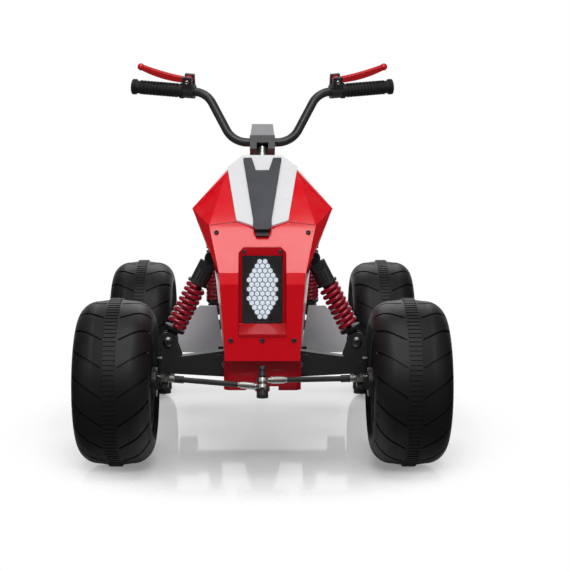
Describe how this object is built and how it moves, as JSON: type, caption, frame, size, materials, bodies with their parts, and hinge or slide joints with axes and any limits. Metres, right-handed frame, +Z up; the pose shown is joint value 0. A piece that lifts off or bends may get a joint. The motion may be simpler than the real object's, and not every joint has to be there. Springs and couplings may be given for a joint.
{
  "type": "kids electric quad bike",
  "caption": "Ride-on quad with folded red nose fairing, hooded honeycomb lamp, riser handlebar, sprung front arms, rear swing arm and fat ribbed tyres.",
  "frame": {"origin": "centre of the bounding box on the ground plane", "axes": "+Y from nose to tail, +X to the rider's left, +Z up"},
  "size_m": [0.667, 0.94, 0.7185],
  "materials": {
    "red_gloss": "gloss injection moulding",
    "dark_red_steel": "satin paint",
    "white_gloss": "gloss injection moulding",
    "dark_grey_plastic": "satin moulding",
    "black_plastic": "satin moulding",
    "black_steel": "satin powder coat",
    "black_shock_eye": "satin paint",
    "zinc_steel": "zinc plate",
    "crimson_spring": "gloss powder coat",
    "red_lever": "gloss moulding",
    "grip_rubber": "matt rubber",
    "seat_cover": "black grained cover",
    "silver_rest": "silver moulding",
    "tyre_black": "moulded tread",
    "lamp_white": "white light cells",
    "lamp_glass": "smoked clear cover",
    "battery_case": "sealed battery case",
    "motor_case": "ribbed gear case"
  },
  "bodies": {
    "chassis": {"main_frame": "black_steel", "front_tower": "black_steel", "rear_tower": "black_steel", "suspension_bolts": "zinc_steel", "column_bushes": "black_plastic", "skid_box": "dark_red_steel", "front_fairing": "red_gloss", "side_vents": "black_plastic", "hood_panel": "white_gloss", "hood_spine": "dark_grey_plastic", "lamp_surround": "red_gloss", "lamp_housing": "black_plastic", "lamp_cells": "lamp_white", "lamp_lens": "lamp_glass", "rear_body": "red_gloss", "seat": "seat_cover", "battery_box": "black_plastic", "battery": "battery_case", "footrest_left": "silver_rest", "footrest_right": "silver_rest"},
    "steering": {"steering_column": "zinc_steel", "pitman_arm": "black_steel", "handlebar": "black_steel", "handlebar_clamp": "black_steel", "handlebar_cap": "dark_grey_plastic", "grips": "grip_rubber", "lever_perches": "black_steel"},
    "swing": {"rear_swing_arm": "black_steel", "rear_axle": "zinc_steel", "gear_motors": "motor_case"},
    "rear_shock_upper": {"rear_shock_bodies": "black_steel", "rear_shock_springs": "crimson_spring"},
    "rear_shock_lower": {"rear_shock_rods": "black_shock_eye"},
    "pedal": {"accelerator_pedal": "black_plastic"},
    "switch": {"direction_switch": "black_plastic"},
    "button": {"power_button": "red_lever"},
    "lever_left_body": {"lever_left": "red_lever"},
    "arm_left": {"front_arm_left": "black_steel"},
    "steer_knuckle_left": {"knuckle_left": "black_steel"},
    "front_wheel_left": {"front_tyre_left": "tyre_black", "front_rim_left": "black_plastic"},
    "tie_end_left": {"tie_ball_left": "zinc_steel"},
    "tie_link_left": {"tie_rod_left": "black_steel"},
    "front_shock_upper_left": {"front_shock_body_left": "black_steel", "front_shock_spring_left": "crimson_spring"},
    "front_shock_lower_left": {"front_shock_rod_left": "black_shock_eye"},
    "rear_wheel_left": {"rear_tyre_left": "tyre_black", "rear_rim_left": "black_plastic"},
    "lever_right_body": {"lever_right": "red_lever"},
    "arm_right": {"front_arm_right": "black_steel"},
    "steer_knuckle_right": {"knuckle_right": "black_steel"},
    "front_wheel_right": {"front_tyre_right": "tyre_black", "front_rim_right": "black_plastic"},
    "tie_end_right": {"tie_ball_right": "zinc_steel"},
    "tie_link_right": {"tie_rod_right": "black_steel"},
    "front_shock_upper_right": {"front_shock_body_right": "black_steel", "front_shock_spring_right": "crimson_spring"},
    "front_shock_lower_right": {"front_shock_rod_right": "black_shock_eye"},
    "rear_wheel_right": {"rear_tyre_right": "tyre_black", "rear_rim_right": "black_plastic"}
  },
  "joints": [
    {"name": "steer", "type": "hinge", "parent": "chassis", "child": "steering", "pos_m": [0, -0.365, 0.15], "axis": [0, 0.3746, 0.9272], "range_deg": [-20, 20]},
    {"name": "lever_left", "type": "hinge", "parent": "steering", "child": "lever_left_body", "pos_m": [0.13625, -0.16821, 0.68682], "axis": [-0.2734, 0.8718, 0.4065], "range_deg": [0, 9], "stiffness_Nm_per_rad": 0.6, "springref_deg": -14.32},
    {"name": "arm_left", "type": "hinge", "parent": "chassis", "child": "arm_left", "pos_m": [0.066, -0.32, 0.19], "axis": [0, -1, 0], "range_deg": [0, 4], "stiffness_Nm_per_rad": 60, "springref_deg": -17.19},
    {"name": "kingpin_left", "type": "hinge", "parent": "arm_left", "child": "steer_knuckle_left", "pos_m": [0.175, -0.32, 0.15], "axis": [0, 0, 1], "range_deg": [-21, 21]},
    {"name": "front_spin_left", "type": "hinge", "parent": "steer_knuckle_left", "child": "front_wheel_left", "pos_m": [0.259, -0.32, 0.15], "axis": [1, 0, 0], "continuous": true},
    {"name": "tie_yaw_left", "type": "hinge", "parent": "steering", "child": "tie_end_left", "pos_m": [0, -0.42826, 0.17411], "axis": [0, 0.3746, 0.9272], "range_deg": [-21.5, 21.5]},
    {"name": "tie_tilt_left", "type": "hinge", "parent": "tie_end_left", "child": "tie_link_left", "pos_m": [0, -0.42826, 0.17411], "axis": [0, -1, 0], "range_deg": [-0.5, 4]},
    {"name": "shock_swing_left", "type": "hinge", "parent": "chassis", "child": "front_shock_upper_left", "pos_m": [0.091, -0.32, 0.373], "axis": [0, -1, 0], "range_deg": [-6, 6]},
    {"name": "shock_slide_left", "type": "slide", "parent": "front_shock_upper_left", "child": "front_shock_lower_left", "axis": [0.4568, 0, -0.8896], "range_m": [-0.014, 0.001], "deforming": ["front_shock_spring_left"]},
    {"name": "rear_spin_left", "type": "hinge", "parent": "swing", "child": "rear_wheel_left", "pos_m": [0.266, 0.32, 0.15], "axis": [1, 0, 0], "continuous": true},
    {"name": "lever_right", "type": "hinge", "parent": "steering", "child": "lever_right_body", "pos_m": [-0.13625, -0.16821, 0.68682], "axis": [-0.2734, -0.8718, -0.4065], "range_deg": [0, 9], "stiffness_Nm_per_rad": 0.6, "springref_deg": -14.32},
    {"name": "arm_right", "type": "hinge", "parent": "chassis", "child": "arm_right", "pos_m": [-0.066, -0.32, 0.19], "axis": [0, 1, 0], "range_deg": [0, 4], "stiffness_Nm_per_rad": 60, "springref_deg": -17.19},
    {"name": "kingpin_right", "type": "hinge", "parent": "arm_right", "child": "steer_knuckle_right", "pos_m": [-0.175, -0.32, 0.15], "axis": [0, 0, 1], "range_deg": [-21, 21]},
    {"name": "front_spin_right", "type": "hinge", "parent": "steer_knuckle_right", "child": "front_wheel_right", "pos_m": [-0.259, -0.32, 0.15], "axis": [1, 0, 0], "continuous": true},
    {"name": "tie_yaw_right", "type": "hinge", "parent": "steering", "child": "tie_end_right", "pos_m": [0, -0.43238, 0.16391], "axis": [0, 0.3746, 0.9272], "range_deg": [-21.5, 21.5]},
    {"name": "tie_tilt_right", "type": "hinge", "parent": "tie_end_right", "child": "tie_link_right", "pos_m": [0, -0.43238, 0.16391], "axis": [0, 1, 0], "range_deg": [-0.5, 4]},
    {"name": "shock_swing_right", "type": "hinge", "parent": "chassis", "child": "front_shock_upper_right", "pos_m": [-0.091, -0.32, 0.373], "axis": [0, 1, 0], "range_deg": [-6, 6]},
    {"name": "shock_slide_right", "type": "slide", "parent": "front_shock_upper_right", "child": "front_shock_lower_right", "axis": [-0.4568, 0, -0.8896], "range_m": [-0.014, 0.001], "deforming": ["front_shock_spring_right"]},
    {"name": "rear_spin_right", "type": "hinge", "parent": "swing", "child": "rear_wheel_right", "pos_m": [-0.266, 0.32, 0.15], "axis": [1, 0, 0], "continuous": true},
    {"name": "swing_arm", "type": "hinge", "parent": "chassis", "child": "swing", "pos_m": [0, 0.084, 0.178], "axis": [1, 0, 0], "range_deg": [0, 4], "stiffness_Nm_per_rad": 160, "springref_deg": -17.19},
    {"name": "rear_shock_swing", "type": "hinge", "parent": "chassis", "child": "rear_shock_upper", "pos_m": [0.106, 0.24, 0.346], "axis": [1, 0, 0], "range_deg": [-6, 6]},
    {"name": "rear_shock_slide", "type": "slide", "parent": "rear_shock_upper", "child": "rear_shock_lower", "axis": [0, 0.3777, -0.9259], "range_m": [-0.025, 0.001], "deforming": ["rear_shock_springs"]},
    {"name": "pedal_press", "type": "hinge", "parent": "chassis", "child": "pedal", "pos_m": [-0.118, -0.032, 0.182], "axis": [1, 0, 0], "range_deg": [0, 12], "stiffness_Nm_per_rad": 1.5, "springref_deg": -17.19},
    {"name": "switch_rock", "type": "hinge", "parent": "chassis", "child": "switch", "pos_m": [-0.02, -0.10655, 0.45877], "axis": [1, 0, 0], "range_deg": [-8, 8]},
    {"name": "button_press", "type": "slide", "parent": "chassis", "child": "button", "axis": [0, -0.8148, -0.5798], "range_m": [0, 0.0025], "stiffness_N_per_m": 250, "springref_m": -0.002}
  ],
  "couplings": [
    {"joint": "kingpin_left", "follows": "steer", "ratio": 1.0025},
    {"joint": "tie_yaw_left", "follows": "steer", "ratio": -1.0287},
    {"joint": "tie_tilt_left", "follows": "arm_left", "ratio": 0.7138},
    {"joint": "shock_swing_left", "follows": "arm_left", "ratio": 0.075627},
    {"joint": "shock_slide_left", "follows": "arm_left", "m_per_rad": -0.10616},
    {"joint": "kingpin_right", "follows": "steer", "ratio": 1.0025},
    {"joint": "tie_yaw_right", "follows": "steer", "ratio": -1.0287},
    {"joint": "tie_tilt_right", "follows": "arm_right", "ratio": 0.7138},
    {"joint": "shock_swing_right", "follows": "arm_right", "ratio": 0.075627},
    {"joint": "shock_slide_right", "follows": "arm_right", "m_per_rad": -0.10616},
    {"joint": "rear_shock_swing", "follows": "swing_arm", "ratio": 0.40479},
    {"joint": "rear_shock_slide", "follows": "swing_arm", "m_per_rad": -0.20893}
  ]
}
